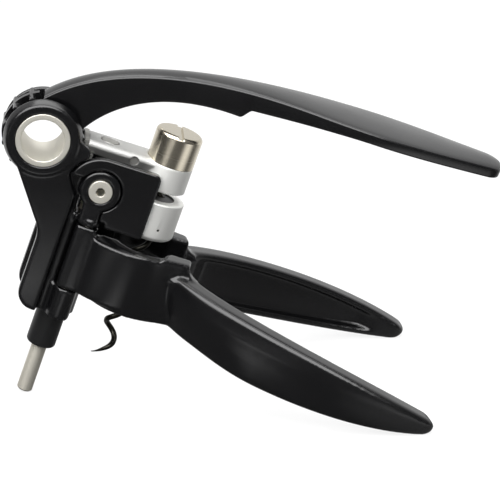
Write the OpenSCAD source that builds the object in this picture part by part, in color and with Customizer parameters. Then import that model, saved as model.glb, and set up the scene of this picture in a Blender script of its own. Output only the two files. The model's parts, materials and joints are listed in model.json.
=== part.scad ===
// Lever corkscrew, stored standing on its guide rod and its two open grips.
// The pieces are drawn in the tool's own frame and then leaned into the standing pose.
// Tool frame: x forward from the guide rod, y to the side, z up the rod from its foot.

/* [Guide rod] */
// Diameter of the guide rod
rod_d = 6; // [5:0.25:6.5]
// Length of rod that stands below the frame at rest
rod_reach = 36; // [30:1:42]
// Chamfer at the rod's foot
rod_chamfer = 0.6; // [0.2:0.1:1]
// Diameter of the rod's riveted head
rod_head_d = 7.4; // [7:0.1:9]
// Height of the rod's riveted head
rod_head_h = 1.4; // [0.8:0.1:2]
// Outer diameter of the sleeve round the rod
sleeve_d = 11.4; // [10:0.2:12]
// Length of sleeve that shows below the frame
sleeve_reach = 16; // [8:0.5:20]
// Depth of the sleeve's seat in the frame
sleeve_seat = 8; // [4:0.5:9]
// Rounding of the sleeve's lower edge
sleeve_round = 1.5; // [0.5:0.1:2]

/* [Frame] */
// Height of the frame's foot flange
flange_h = 12.5; // [9:0.5:14]
// Height of the lug above each grip's knuckle
lug_h = 2.5; // [2:0.5:5]
// Distance of the hinge pins and studs in front of the rod's axis
post_x = 1.3; // [0.5:0.1:2]
// Half the distance between the two hinge pins
post_y = 10.2; // [10:0.1:12]
// Front face of the frame's column, in front of the rod's axis
column_front = 5.4; // [4.5:0.1:5.8]
// Half width of the frame's column
column_half_w = 5.2; // [4.6:0.1:5.4]
// Rear edge of the side cheeks, behind the rod's axis
cheek_back = 15.7; // [15:0.1:18]
// Front edge of the side cheeks, behind the rod's axis
cheek_front = 7.1; // [6:0.1:8]
// Thickness of each side cheek
cheek_t = 4.4; // [3:0.1:6]
// Running gap between a cheek and the gear
cheek_gap = 0.5; // [0.3:0.1:1]
// Radius of the cheek's round head
head_r = 15; // [14.6:0.1:16]
// Width of the straight part of the head's rim
head_rim = 1.2; // [0.6:0.1:2]
// Radius of the raised face on the cheek's head
head_face_r = 13.4; // [11.5:0.1:14]
// Height of the raised face on the cheek's head
head_face_h = 0.6; // [0.2:0.1:1.2]
// Radius of the round hub on each ear
hub_r = 7.75; // [6:0.05:8.5]
// Thickness of each ear
ear_t = 4.2; // [3:0.1:5]

/* [Axle] */
// Distance of the axle behind the rod's axis
axle_back = 25.2; // [24.8:0.1:26]
// Height of the axle above the frame's lugs
axle_rise = 24; // [22:0.5:28]
// Bore through the hollow axle
axle_bore_d = 16.2; // [14:0.1:16.6]
// Outer diameter of the hollow axle
axle_d = 18.2; // [17.4:0.1:18.8]
// Diameter of the axle's flanges
axle_flange_d = 20.5; // [20:0.1:22]
// Thickness of the axle's flanges
axle_flange_t = 1.6; // [1:0.1:2.5]

/* [Gear] */
// Teeth on a full turn of the pinion
teeth = 13; // [12:1:14]
// Tooth size, as pitch diameter over teeth
tooth_module = 2.1; // [2.05:0.01:2.15]
// Width of each of the two rows of teeth
row_w = 5.8; // [4:0.1:7]
// Thickness of the web between the rows
web_t = 2.6; // [1.5:0.1:3]
// Play between the teeth of pinion and rack
tooth_play = 0.6; // [0.3:0.05:0.8]
// Thickness of the rack behind its teeth
rack_back_t = 3.7; // [3:0.1:4.2]
// Teeth on the rack
rack_teeth = 9; // [8:1:9]
// Diameter of the keys between pinion and lever
key_d = 2.6; // [1.5:0.1:3]
// Diameter of the screws that hold the rack to the arm
rack_screw_d = 2; // [1.5:0.1:2.4]

/* [Lever] */
// Height of the lever's paddle above the axle
lever_rise = 43.2; // [38:0.1:50]
// Reach of the lever from the axle to its tip
lever_reach = 168.6; // [150:1:190]
// Half width of the lever at its root
root_half_w = 5.2; // [4:0.1:6.5]
// Half width of the lever's paddle
paddle_half_w = 16.7; // [12:0.1:20]
// Half width of the lever at its tip
tip_half_w = 9.6; // [6:0.1:12]
// Thickness of the paddle
paddle_t = 5.2; // [3:0.1:6]
// Depth of the step that stops the fingers
finger_step = 3.4; // [1:0.1:5]
// Crown of the lever's top across its width
lever_crown = 0.7; // [0.2:0.1:1.2]

/* [Carriage] */
// Thickness of the carriage arm
arm_t = 5.6; // [5:0.1:7]
// Half width of the carriage arm
arm_half_w = 7.2; // [6:0.1:8]
// Rounding of the arm's edges
arm_round = 2.4; // [0.5:0.1:2.4]
// Depth of the arm's underside below the axle's axis
arm_dip = 1.2; // [0:0.1:2]
// Diameter of the carriage's barrel and cap
barrel_d = 18.2; // [16:0.1:18.6]
// Length of the barrel
barrel_len = 10.2; // [9:0.1:13]
// How far the cap sinks below the top of the arm
cap_sink = 0.8; // [0.3:0.1:2]
// Height of the cap
cap_h = 12.5; // [8:0.5:14]
// Rounding of the cap's top edge
cap_round = 1.6; // [0.5:0.1:3]
// Width of the coin slot in the cap
slot_w = 2; // [1:0.1:2.5]
// Depth of the coin slot in the cap
slot_h = 0.9; // [0.5:0.1:3]
// Diameter of the lock pin in the arm's side
lock_pin_d = 3.4; // [2:0.1:3.6]

/* [Worm and nut] */
// Distance of the worm in front of the rod's axis
worm_ahead = 24; // [23.5:0.1:26]
// Diameter of the worm's wire
wire_d = 2.2; // [1.6:0.1:2.6]
// Outer diameter of the worm's coil
coil_d = 7.4; // [6.5:0.1:8]
// Pitch of the worm
worm_pitch = 14.4; // [12:0.1:16]
// Reach of the worm below the barrel
worm_reach = 72; // [60:0.5:75]
// Length of the tapered tip
tip_len = 6; // [4:0.5:15]
// How far the tip flares out of the coil
tip_flare = 1.5; // [0:0.1:2]
// Diameter of the worm's head
worm_head_d = 12; // [10:0.1:13]
// Thickness of the thrust washer
washer_t = 0.8; // [0.5:0.1:1.2]
// Diameter of the nut
nut_d = 21; // [19:0.1:22]
// Gap between the nut and the barrel above it
nut_gap = 4.1; // [1:0.1:5]
// Rounding of the nut's lower edge
nut_round = 2; // [0.5:0.1:3]
// Diameter of the threaded insert
insert_d = 13; // [11.5:0.1:14]
// Diameter of the nut's grub screw
grub_d = 1; // [0.8:0.1:2.5]
// Front edge of the nut block, behind the worm's axis
block_setback = 2.2; // [0.5:0.1:5]
// Half width of the nut block
block_half_w = 13.2; // [12.4:0.1:13.6]
// Radius of the block's round shoulder about the stud
shoulder_r = 12.6; // [11:0.1:13]
// Diameter of the stud's face
stud_d = 9; // [8:0.1:10]
// Diameter of the stud's shank
stud_shank_d = 6.4; // [5:0.1:7]
// Hole down the stud
stud_hole_d = 3.3; // [2:0.1:4]
// How far the stud stands proud of the ear
stud_proud = 0.3; // [0.1:0.1:0.8]

/* [Grips] */
// Height of a grip's knuckle
grip_h = 25.9; // [23:0.1:29]
// How far the collar reaches below the knuckle
collar_foot = 1.5; // [0.5:0.1:2.5]
// Outer radius of a knuckle
knuckle_r = 4.4; // [4:0.1:4.4]
// Diameter of the hinge pins
hinge_d = 4; // [3:0.1:4.4]
// Diameter of the bottle neck that the collar fits
neck_d = 29.8; // [28:0.1:31]
// Wall of the collar
collar_wall = 2.9; // [2:0.1:4]
// Radius of the opening above the lip stop
lip_r = 12; // [11:0.1:13]
// Depth of the collar below the lip stop
lip_depth = 15.6; // [12:0.2:18]
// Half gap between the collar's front ends with a neck in it
jaw_half_gap = 3.9; // [3.6:0.1:6]
// Opening of each grip from the clamped pose
grip_open = 8; // [4:0.5:14]
// Reach of a grip in front of the hinge, clamped
grip_reach = 146.8; // [120:0.2:170]
// Thickness of a grip
grip_t = 9; // [7:0.2:11]
// Depth of the pocket in a grip's inner face
pocket_d = 3; // [1:0.2:4]
// Height of a grip's tip above the collar's foot
tip_lift = 4.6; // [2:0.2:8]

/* [Hidden] */
$fn = 64;

// Clearances
run_fit = 0.04;
seat_fit = 0.01;
free_gap = 0.3;
part_gap = 0.5;

// Overlap of joined shapes, overrun of cuts, and how far hidden faces stop short of shown ones
weld = 0.1;
over = 1;
set_in = 0.5;

// Colours as the pieces look
black_paint = "#17171a";
zinc = "#a9a9a6";
nickel = "#c4bfb2";
steel = "#a5a294";
dark_steel = "#2a2a2a";
nylon = "#202022";

// Heights up the tool, from the rod's foot
frame_z = rod_reach;
knuckle_z = frame_z + flange_h + free_gap;
collar_z = knuckle_z - collar_foot;
lug_z = knuckle_z + grip_h + free_gap;
column_top = lug_z + lug_h;
axle_z = column_top + axle_rise;
arm_z = axle_z - arm_dip;
arm_top = arm_z + arm_t;
cap_z = arm_top - cap_sink;
barrel_z = cap_z - barrel_len;
nut_z = lug_z + part_gap;
nut_top = barrel_z - nut_gap;
block_z = nut_z + part_gap;
block_top = arm_z - part_gap;
shoulder_top = axle_z + 0.6;
stud_z = shoulder_top - shoulder_r;

// Places across the tool
axle = [-axle_back, axle_z];
stud = [post_x, stud_z];
hinge = [post_x, post_y];
gear_half_w = web_t / 2 + row_w;
cheek_in = gear_half_w + cheek_gap;
cheek_out = cheek_in + cheek_t;
axle_face = cheek_out + head_face_h;
cheek_wall = 1.6;
ear_proud = 0.6;
ear_in = block_half_w - ear_t + ear_proud;
ear_out = ear_in + ear_t;
block_front = worm_ahead - block_setback;
post_r = knuckle_r;
stem_w = 7.2;
pin_blind = 2;

// Gear
pressure_angle = 25;
addendum = 0.9 * tooth_module;
dedendum = 1.25 * tooth_module;
pitch_r = teeth * tooth_module / 2;
base_r = pitch_r * cos(pressure_angle);
tip_r = pitch_r + addendum;
root_r = pitch_r - dedendum;
rack_pitch = PI * tooth_module;
rack_line = pitch_r - axle_back;
rack_root = rack_line + dedendum;
rack_front = rack_root + rack_back_t;
channel_front = rack_front + free_gap;
rack_tail = 0.6;
rack_foot = axle_z - (rack_teeth - 1 + rack_tail) * rack_pitch;
rack_head_back = rack_root - 1.9;
rack_head_front = rack_root + 0.7;
rack_head_top = arm_top - 0.2;
arm_tail = rack_head_front;

// Lever outline about the axle: the top runs up from the gear and levels off at the paddle
lever_start = -4.1;
crest = 95;
root_rise = sqrt(pow(tip_r, 2) - pow(lever_start, 2));
lever_top_curve = [[lever_start, root_rise], [15, lever_rise - 7.2], [54, lever_rise], [crest, lever_rise]];
step_x = 67;
step_run = 4;
neck_extra = 2.8;
thin_run = 50;
arm_under = lever_top(step_x) - lever_thin(step_x) - finger_step;
under_start = 12.6;
lever_under_curve = [[under_start, 5], [20.5, 19.5], [38, arm_under + 0.3], [step_x, arm_under]];
widest = 121;
lever_flare = [[15, root_half_w], [75, root_half_w + 0.2], [92, paddle_half_w], [widest, paddle_half_w]];
lever_taper = [[widest, paddle_half_w], [135, paddle_half_w], [lever_reach - 19, tip_half_w + 3.8],
    [lever_reach, tip_half_w - 0.6]];
tip_round = 5;
tip_thin = 0.6;
tip_narrow = 4;
lever_edge = 0.8;
lever_draft = 0.3;
lever_sector = [atan2(lever_under_curve[0][1], lever_under_curve[0][0]) - 1,
    91 + asin(-lever_start / root_r)];

// Grip outline, clamped: the middle line bows out from the collar, and the height tapers to the tip
neck_r = neck_d / 2;
collar_r = neck_r + collar_wall;
grip_start = [worm_ahead + 16, 9];
grip_curve = [grip_start, [60, 29], [grip_reach - 30.6, 40.5], [grip_reach + post_x, 29]];
tip_z = collar_z + tip_lift;
tip_half_h = 2.3;
grip_top_curve = [collar_z + 21.2, collar_z + 19.2, collar_z + 16.2, tip_z + tip_half_h];
grip_foot_curve = [collar_z + 0.4, collar_z - 4.1, collar_z - 6.8, tip_z - tip_half_h];
draft_root = 4.4;
draft_rest = 0.6;
draft_run = [0.15, 0.42];
function grip_draft(u) = draft_root
    + (draft_rest - draft_root) * ease((u - draft_run[0]) / (draft_run[1] - draft_run[0]));
grip_rings = 26;

// Maths for the curves
function bezier(p, t) = pow(1 - t, 3) * p[0] + 3 * pow(1 - t, 2) * t * p[1]
    + 3 * (1 - t) * t * t * p[2] + pow(t, 3) * p[3];
function bezier_slope(p, t) = 3 * pow(1 - t, 2) * (p[1] - p[0]) + 6 * (1 - t) * t * (p[2] - p[1])
    + 3 * t * t * (p[3] - p[2]);
function bezier_t(p, x, lo = 0, hi = 1, n = 24) = n == 0 ? (lo + hi) / 2
    : bezier(p, (lo + hi) / 2)[0] < x ? bezier_t(p, x, (lo + hi) / 2, hi, n - 1)
    : bezier_t(p, x, lo, (lo + hi) / 2, n - 1);
function bezier_y(p, x) = bezier(p, bezier_t(p, x))[1];
function ease(t) = t <= 0 ? 0 : t >= 1 ? 1 : t * t * (3 - 2 * t);
function polar(r, a) = [r * cos(a), r * sin(a)];
function arc(c, r, a0, a1, n = 8) = [for (i = [0:n]) c + polar(r, a0 + (a1 - a0) * i / n)];
function turn(p, c, a) = c + [(p[0] - c[0]) * cos(a) - (p[1] - c[1]) * sin(a),
    (p[0] - c[0]) * sin(a) + (p[1] - c[1]) * cos(a)];

// A closed skin over rings of equal count, with flat ends
function middle(ring) = [for (p = ring) 1 / len(ring)] * ring;
function skin_faces(rings, count) = let (last = (rings - 1) * count, hub = rings * count) concat(
    [for (j = [0:count - 1]) [hub, (j + 1) % count, j]],
    [for (i = [0:rings - 2], j = [0:count - 1]) let (k = (j + 1) % count, a = i * count, b = a + count)
        each [[a + j, a + k, b + j], [a + k, b + k, b + j]]],
    [for (j = [0:count - 1]) [hub + 1, last + j, last + (j + 1) % count]]);
module skin(rings) {
    points = concat([for (ring = rings) each ring], [middle(rings[0]), middle(rings[len(rings) - 1])]);
    polyhedron(points, skin_faces(len(rings), len(rings[0])), convexity = 10);
}

// Lever section at a distance from the axle
function lever_top(x) = x < crest ? bezier_y(lever_top_curve, x) : lever_rise;
function lever_thin(x) = paddle_t + neck_extra * (1 - ease((x - step_x) / thin_run));
function lever_under(x) = x < lever_under_curve[0][0] ? lever_under_curve[0][1]
    : x < step_x ? bezier_y(lever_under_curve, x)
    : let (s = ease((x - step_x) / step_run))
        (1 - s) * arm_under + s * (lever_top(x) - lever_thin(x));
function tip_ease(x) = let (s = max(0, (x - lever_reach + tip_round) / tip_round)) sqrt(max(0, 1 - s * s));
function lever_half_w(x) = x < lever_flare[0][0] ? root_half_w
    : x < widest ? bezier_y(lever_flare, x)
    : bezier_y(lever_taper, x) - tip_narrow * (1 - tip_ease(x));
function lever_stations() = concat(
    [for (i = [0:4]) lever_start + i * (under_start - lever_start) / 5],
    [for (i = [0:12]) under_start + (step_x - under_start) * pow(i / 12, 1.3)],
    [for (i = [1:3]) step_x + i * step_run / 3],
    [for (i = [1:8]) step_x + step_run + i * (widest - step_x - step_run) / 8],
    [for (i = [1:5]) widest + i * (lever_reach - tip_round - widest) / 5],
    [for (a = [25, 50, 72, 88]) lever_reach - tip_round * (1 - sin(a))]);
function lever_ring(x) = let (w = lever_half_w(x), t = lever_top(x), u = lever_under(x),
        e = lever_edge, v = w - lever_draft, end = tip_thin * (1 - tip_ease(x)), hi = t - end, lo = u + end)
    [for (p = concat(
        [for (s = [-1, -0.66, -0.33, 0, 0.33, 0.66, 1]) [s * (w - e), hi - lever_crown * s * s]],
        [[w, hi - lever_crown - e], [v, lo + e]],
        [for (s = [1, 0.5, 0, -0.5, -1]) [s * (v - e), lo]],
        [[-v, lo + e], [-w, hi - lever_crown - e]]))
        [axle[0] + x, p[0], axle[1] + p[1]]];
lever_rings = [for (x = lever_stations()) lever_ring(x)];

// Grip section at a share of its length, with a shallow pocket in the inner face
function grip_ring(u) = let (c = bezier(grip_curve, u), d = bezier_slope(grip_curve, u),
        out = [-d[1], d[0]] / norm(d),
        s = max(0, (u - 0.96) / 0.04), cap = sqrt(max(0.02, 1 - s * s)),
        top = bezier(grip_top_curve, u), foot = bezier(grip_foot_curve, u),
        mid = (top + foot) / 2, h = (top - foot) / 2 * cap, w = grip_t / 2 * cap,
        f = 1.8 * cap, rim = min(2.4, h / 2.5), q = min(1, h / 3) * 0.9, v = w - grip_draft(u) * cap,
        k = pocket_d * ease((u - 0.1) / 0.1) * ease((0.9 - u) / 0.1) + 0.05)
    [for (p = [[q - w, h], [0, h], [w - f, h], [w - f * 0.3, h - f * 0.3], [w, h - f],
        [w + 0.3 * cap, h * 0.4], [w * 0.75 + v * 0.25, h * -0.2], [v, f - h],
        [v - f * 0.3, f * 0.3 - h], [v - f, -h], [(v - f + q - w) / 2, -h], [q - w, -h], [-w, q - h],
        [-w, rim - h], [k - w, rim - h + k * 0.3], [k - w, h - rim - k * 0.3], [-w, h - rim], [-w, h - q]])
        [c[0] + out[0] * p[0], c[1] + out[1] * p[0], mid + p[1]]];
function grip_share(i) = i < grip_rings - 6 ? 0.96 * i / (grip_rings - 6)
    : 0.96 + 0.04 * sin((i - grip_rings + 6) * 90 / 5);
grip_skin = [for (i = [0:grip_rings - 1]) grip_ring(grip_share(i))];

// Standing pose: the floor touches the front edge of the rod's foot and both grip tips
foot_edge = rod_d / 2 - rod_chamfer;
grip_points = [for (ring = grip_skin, p = ring) let (q = turn(p, hinge, grip_open)) [q[0], q[1], p[2]]];
lean = min([for (p = grip_points) atan2(p[2], p[0] - foot_edge)]);
function stood_x(p) = p[0] * cos(lean) + p[2] * sin(lean);
front_x = max([for (ring = lever_rings, p = ring) stood_x(p)]);
rear_x = stood_x([axle[0], 0, axle[1]]) - max(head_r, tip_r);
module stand() {
    translate([-(front_x + rear_x) / 2, 0, foot_edge * sin(lean)]) rotate([0, lean, 0]) children();
}

// Small helpers for plates and pairs
module plate(y0, y1) {
    translate([0, y1, 0]) rotate([90, 0, 0]) linear_extrude(y1 - y0) children();
}
module cross_rod(place, r, y0, y1) {
    translate([place[0], y0, place[1]]) rotate([-90, 0, 0]) cylinder(r = r, h = y1 - y0);
}
module pair() {
    children();
    mirror([0, 1, 0]) children();
}
module post(r, z0, z1) {
    translate([hinge[0], hinge[1], z0]) cylinder(r = r, h = z1 - z0);
}
module block(lo, hi) {
    translate(lo) cube(hi - lo);
}

// Cheek outline seen from the side: sloping back, straight column, and a lobe along the block's shoulder
shoulder_foot = 3;
cheek_sole = 7;
waist_r = 12;
waist_drop = 11.7;
throat_drop = 5;
lobe_arc = [172, 126];
lobe_reach = [18.4, 1.4];
module cheek_outline() {
    waist = arc([-cheek_back - waist_r, lug_z - waist_drop], waist_r, 42, 0, 6);
    inside = head_face_r - 1;
    polygon(concat([[-cheek_front, frame_z], [-cheek_front, stud_z - throat_drop]],
        arc(stud, shoulder_r + part_gap, lobe_arc[0], lobe_arc[1]),
        [axle + lobe_reach, axle + polar(inside, 22), axle, axle + polar(inside, 214)],
        waist, arc([-cheek_back + cheek_sole, frame_z + cheek_sole], cheek_sole, 180, 270, 6)));
}

// Round head of a cheek, bevelled from its rim to a raised face
module head() {
    translate([axle[0], 0, axle[1]]) rotate([-90, 0, 0]) rotate_extrude()
        polygon([[0, cheek_in + weld], [head_r, cheek_in + weld], [head_r, cheek_in + head_rim],
            [head_face_r + set_in, cheek_out - weld], [head_face_r, cheek_out - weld],
            [head_face_r, axle_face], [0, axle_face]]);
}

// Column seen from above: a channel for the rack behind, and a bar round the rod in front
wall = 1.5;
function both(points) = concat(points, [for (i = [len(points) - 1:-1:0]) [points[i][0], -points[i][1]]]);
module column_plan() {
    side = cheek_in + cheek_wall;
    bar = channel_front + wall;
    rear = -cheek_front - over;
    polygon(both([[column_front, column_half_w], [bar, column_half_w], [bar, side],
        [rear, side], [rear, cheek_in - weld], [channel_front, cheek_in - weld]]));
}

// Flange and lugs seen from above: a bar across the column with a round end at each pin
module lug_plan() {
    translate([channel_front + set_in, -post_y]) square([column_front - channel_front, 2 * post_y]);
    for (s = [-1, 1]) translate([hinge[0], s * hinge[1]]) circle(r = post_r);
}
sleeve_wall = 2.2;
floor_back = 3;
floor_gap = 2;
module flange_plan() {
    lug_plan();
    intersection() {
        circle(d = sleeve_d + 2 * sleeve_wall);
        translate([channel_front + set_in, -sleeve_d]) square(2 * sleeve_d);
    }
}

// Wall that closes each cheek's throat beside the rack
module throat_outline() {
    back = over - cheek_back;
    front = channel_front - weld;
    polygon([[back, lug_z], [front, lug_z], [front, stud_z + shoulder_foot + over],
        [back, stud_z + 2 * shoulder_foot + over]]);
}

module frame_body() stand() color(black_paint) difference() {
    union() {
        pair() plate(cheek_in, cheek_out) cheek_outline();
        pair() plate(cheek_in + weld, cheek_in + cheek_wall - weld) throat_outline();
        pair() head();
        translate([0, 0, frame_z + set_in]) linear_extrude(column_top - frame_z - 2 * set_in) column_plan();
        block([-cheek_back + floor_back, -cheek_in - weld, frame_z + set_in],
            [channel_front + 2 * set_in, cheek_in + weld, rack_foot - floor_gap]);
        translate([0, 0, frame_z]) linear_extrude(flange_h) flange_plan();
        translate([0, 0, lug_z]) linear_extrude(lug_h) lug_plan();
        pair() plate(ear_in, ear_out) {
            translate(stud) circle(r = hub_r);
            translate([stud[0] - knuckle_r, lug_z + set_in]) square([stem_w, stud_z - lug_z - set_in]);
        }
    }
    translate([0, 0, frame_z - over]) cylinder(d = rod_d + 2 * run_fit, h = column_top - frame_z + 2 * over);
    translate([0, 0, frame_z - over]) cylinder(d = sleeve_d + 2 * seat_fit, h = sleeve_seat + over);
    cross_rod(axle, axle_d / 2 + seat_fit, -axle_face - over, axle_face + over);
    pair() cross_rod(axle, axle_flange_d / 2 + seat_fit, axle_face - axle_flange_t, axle_face + over);
    pair() cross_rod(stud, stud_d / 2 + seat_fit, ear_in - over, ear_out + over);
    pair() post(hinge_d / 2 + seat_fit, frame_z + pin_blind, column_top + over);
}

module guide_sleeve() stand() color(nylon) {
    z0 = frame_z - sleeve_reach;
    outer = sleeve_d / 2;
    inner = rod_d / 2 + run_fit;
    rotate_extrude() polygon(concat([[inner, z0]],
        arc([outer - sleeve_round, z0 + sleeve_round], sleeve_round, 270, 360, 6),
        [[outer, frame_z + sleeve_seat], [inner, frame_z + sleeve_seat]]));
}

// Hollow axle: the tube carries one flange, and a ring closes the other end
module axle_tube() stand() color(nickel) difference() {
    union() {
        cross_rod(axle, axle_d / 2, -axle_face, axle_face);
        cross_rod(axle, axle_flange_d / 2, -axle_face, -axle_face + axle_flange_t - seat_fit);
    }
    cross_rod(axle, axle_bore_d / 2, -axle_face - over, axle_face + over);
}
module axle_ring() stand() color(nickel) difference() {
    cross_rod(axle, axle_flange_d / 2, axle_face - axle_flange_t + seat_fit, axle_face);
    cross_rod(axle, axle_d / 2 + seat_fit, axle_face - axle_flange_t - over, axle_face + over);
}

// Hinge pins press into the frame and turn in the grips
module hinge_pin() {
    post(hinge_d / 2, frame_z + pin_blind, column_top);
}
module hinge_pin_left() stand() color(steel) hinge_pin();
module hinge_pin_right() stand() color(steel) mirror([0, 1, 0]) hinge_pin();

// Nut block: side plates round the ears' hubs, a body in front that holds the nut, and inner lugs
block_corner = 2.5;
block_rear = column_front + 2 * set_in;
function block_points(rear, top, inset) = concat(
    [[rear, block_z + inset], [block_front - inset, block_z + inset]],
    arc([block_front, top] - block_corner * [1, 1], block_corner - inset, 0, 90, 5),
    [[rear, top - inset]]);
module block_outline() {
    difference() {
        union() {
            intersection() {
                translate(stud) circle(r = shoulder_r);
                translate(stud + [-shoulder_r, shoulder_foot]) square([shoulder_r + over, shoulder_r]);
            }
            polygon(block_points(stud[0], shoulder_top, 0));
        }
        translate(stud) circle(r = hub_r + free_gap);
        translate([stud[0] - over, block_z - over])
            square([stem_w - knuckle_r + over + free_gap, stud_z - block_z + over]);
        translate([stud[0] - over, block_z - over])
            square([block_rear + set_in - stud[0] + over, column_top + free_gap - block_z + over]);
    }
}
lug_in = rod_d / 2 + 2.4;
lug_wall = 2.2;
lug_half_h = 3;
module nut_block() stand() color(black_paint) difference() {
    union() {
        pair() plate(ear_in - weld, block_half_w) block_outline();
        plate(-ear_in, ear_in) polygon(block_points(block_rear, block_top, weld));
        pair() plate(lug_in, ear_in - free_gap) {
            translate(stud) circle(r = stud_shank_d / 2 + lug_wall);
            translate(stud - [0, lug_half_h]) square([block_rear + over - stud[0], 2 * lug_half_h]);
        }
    }
    translate([worm_ahead, 0, block_z - over])
        cylinder(d = nut_d + 2 * seat_fit, h = shoulder_top - block_z + 2 * over);
    pair() cross_rod(stud, stud_shank_d / 2 + seat_fit, lug_in - over, ear_in);
}

nut_edge = 0.6;
module nut_sleeve() stand() color(zinc) translate([worm_ahead, 0, 0]) difference() {
    rotate_extrude() polygon(concat([[insert_d / 2 + seat_fit, nut_z]],
        arc([nut_d / 2 - nut_round, nut_z + nut_round], nut_round, 270, 360, 6),
        arc([nut_d / 2 - nut_edge, nut_top - nut_edge], nut_edge, 0, 90, 3),
        [[insert_d / 2 + seat_fit, nut_top]]));
    grub_bore(grub_d + 2 * seat_fit, over);
}
grub_z = nut_z + 5.1;
grub_x = 3.1;
grub_sink = 0.3;
module grub_bore(d, overrun) {
    inside = sqrt(pow(insert_d / 2, 2) - grub_x * grub_x) + free_gap;
    cross_rod([grub_x, grub_z], d / 2, -nut_d / 2 - overrun, -inside);
}
module nut_grub_screw() stand() color(dark_steel) translate([worm_ahead, 0, 0]) intersection() {
    grub_bore(grub_d, over);
    translate([0, 0, nut_z]) cylinder(d = nut_d - 2 * grub_sink, h = nut_top - nut_z);
}

// The worm's wire follows a right-handed helix; each ring of it lies level
floor_t = 2;
coil_r = (coil_d - wire_d) / 2;
worm_tip = barrel_z - worm_reach;
function flare(z) = tip_flare * pow(max(0, 1 - (z - worm_tip) / (worm_pitch / 4)), 2);
function wire_ring(z, r, sides) = let (a = 180 + 360 * (z - worm_tip) / worm_pitch,
        slant = sqrt(1 + pow(2 * PI * coil_r / worm_pitch, 2)))
    [for (i = [0:sides - 1]) let (p = polar(r, -360 * i / sides),
            q = coil_r + flare(z) + p[0], t = p[1] * slant)
        [worm_ahead + q * cos(a) - t * sin(a), q * sin(a) + t * cos(a), z]];
wire_steps = 16;
worm_top = barrel_z + floor_t + free_gap;
worm_rings = ceil((worm_top - worm_tip) / worm_pitch * wire_steps);

module nut_insert() stand() color(nylon) {
    z0 = nut_z + nut_round;
    passage_r = wire_d / 2 + free_gap;
    z1 = nut_top - part_gap;
    through = z1 - z0 + 2 * over;
    rings = ceil(through / worm_pitch * wire_steps);
    difference() {
        translate([worm_ahead, 0, z0]) cylinder(d = insert_d, h = z1 - z0);
        skin([for (i = [0:rings]) wire_ring(z0 - over + through * i / rings, passage_r, 12)]);
    }
}

point_share = 0.3;
module worm() stand() color(dark_steel) {
    skin([for (i = [0:worm_rings]) let (z = worm_tip + (worm_top - worm_tip) * i / worm_rings,
            share = point_share + (1 - point_share) * ease((z - worm_tip) / tip_len))
        wire_ring(z, wire_d / 2 * share, 10)]);
}
spigot_h = 1;
head_top = cap_z - spigot_h - washer_t;
module worm_head() stand() color(steel) translate([worm_ahead, 0, 0]) {
    translate([0, 0, worm_top]) cylinder(d = worm_head_d, h = head_top - free_gap - worm_top);
}

module thrust_washer() stand() color(nickel) translate([worm_ahead, 0, head_top]) difference() {
    cylinder(d = worm_head_d, h = washer_t);
    translate([0, 0, -over]) cylinder(d = worm_head_d / 2, h = washer_t + 2 * over);
}

// Studs carry the block on the ears: a hollow face in the hub and a shank in the block's lug
module stud_pin() {
    difference() {
        union() {
            cross_rod(stud, stud_d / 2, ear_in - free_gap, ear_out + stud_proud);
            cross_rod(stud, stud_shank_d / 2, lug_in, ear_in);
        }
        cross_rod(stud, stud_hole_d / 2, lug_in - over, ear_out + over);
    }
}
module stud_left() stand() color(nickel) stud_pin();
module stud_right() stand() color(nickel) mirror([0, 1, 0]) stud_pin();

// Pinion: involute teeth in two rows with a web between, left plain where the lever sits
function inv(r) = let (a = acos(base_r / r)) tan(a) * 180 / PI - a;
function tooth_half(r) = (rack_pitch - tooth_play) / 4 / pitch_r * 180 / PI
    + inv(pitch_r) - inv(max(r, base_r));
flank_steps = 6;
flank = [for (i = [0:flank_steps]) base_r + (tip_r - base_r) * i / flank_steps];
tooth_points = concat([polar(root_r - set_in, -tooth_half(base_r))],
    [for (r = flank) polar(r, -tooth_half(r))],
    [for (i = [flank_steps:-1:0]) polar(flank[i], tooth_half(flank[i]))],
    [polar(root_r - set_in, tooth_half(base_r))]);
key_angles = [45, 80];
key_inset = 1;
module key_bores(d) {
    for (a = key_angles)
        cross_rod(axle + polar(root_r, a), d / 2, key_inset - root_half_w, root_half_w - key_inset);
}
module drive_pinion() stand() color(black_paint) difference() {
    union() {
        plate(-gear_half_w, gear_half_w) translate(axle) {
            circle(r = root_r);
            for (i = [0:teeth - 1]) let (a = (i + 0.5) * 360 / teeth)
                if (a < lever_sector[0] || a > lever_sector[1] + tooth_half(base_r))
                    rotate(a) polygon(tooth_points);
        }
        plate(-web_t / 2, web_t / 2) translate(axle) difference() {
            circle(r = tip_r);
            polygon(concat([[0, 0]], arc([0, 0], 2 * tip_r, lever_sector[0], lever_sector[1], 4)));
        }
    }
    cross_rod(axle, axle_d / 2 + run_fit, -gear_half_w - over, gear_half_w + over);
    key_bores(key_d + 2 * seat_fit);
}
module lever_keys() stand() color(steel) key_bores(key_d);

module lever_arm() stand() color(black_paint) difference() {
    skin(lever_rings);
    cross_rod(axle, root_r + seat_fit, -root_half_w - over, root_half_w + over);
    key_bores(key_d + 2 * seat_fit);
}

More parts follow.
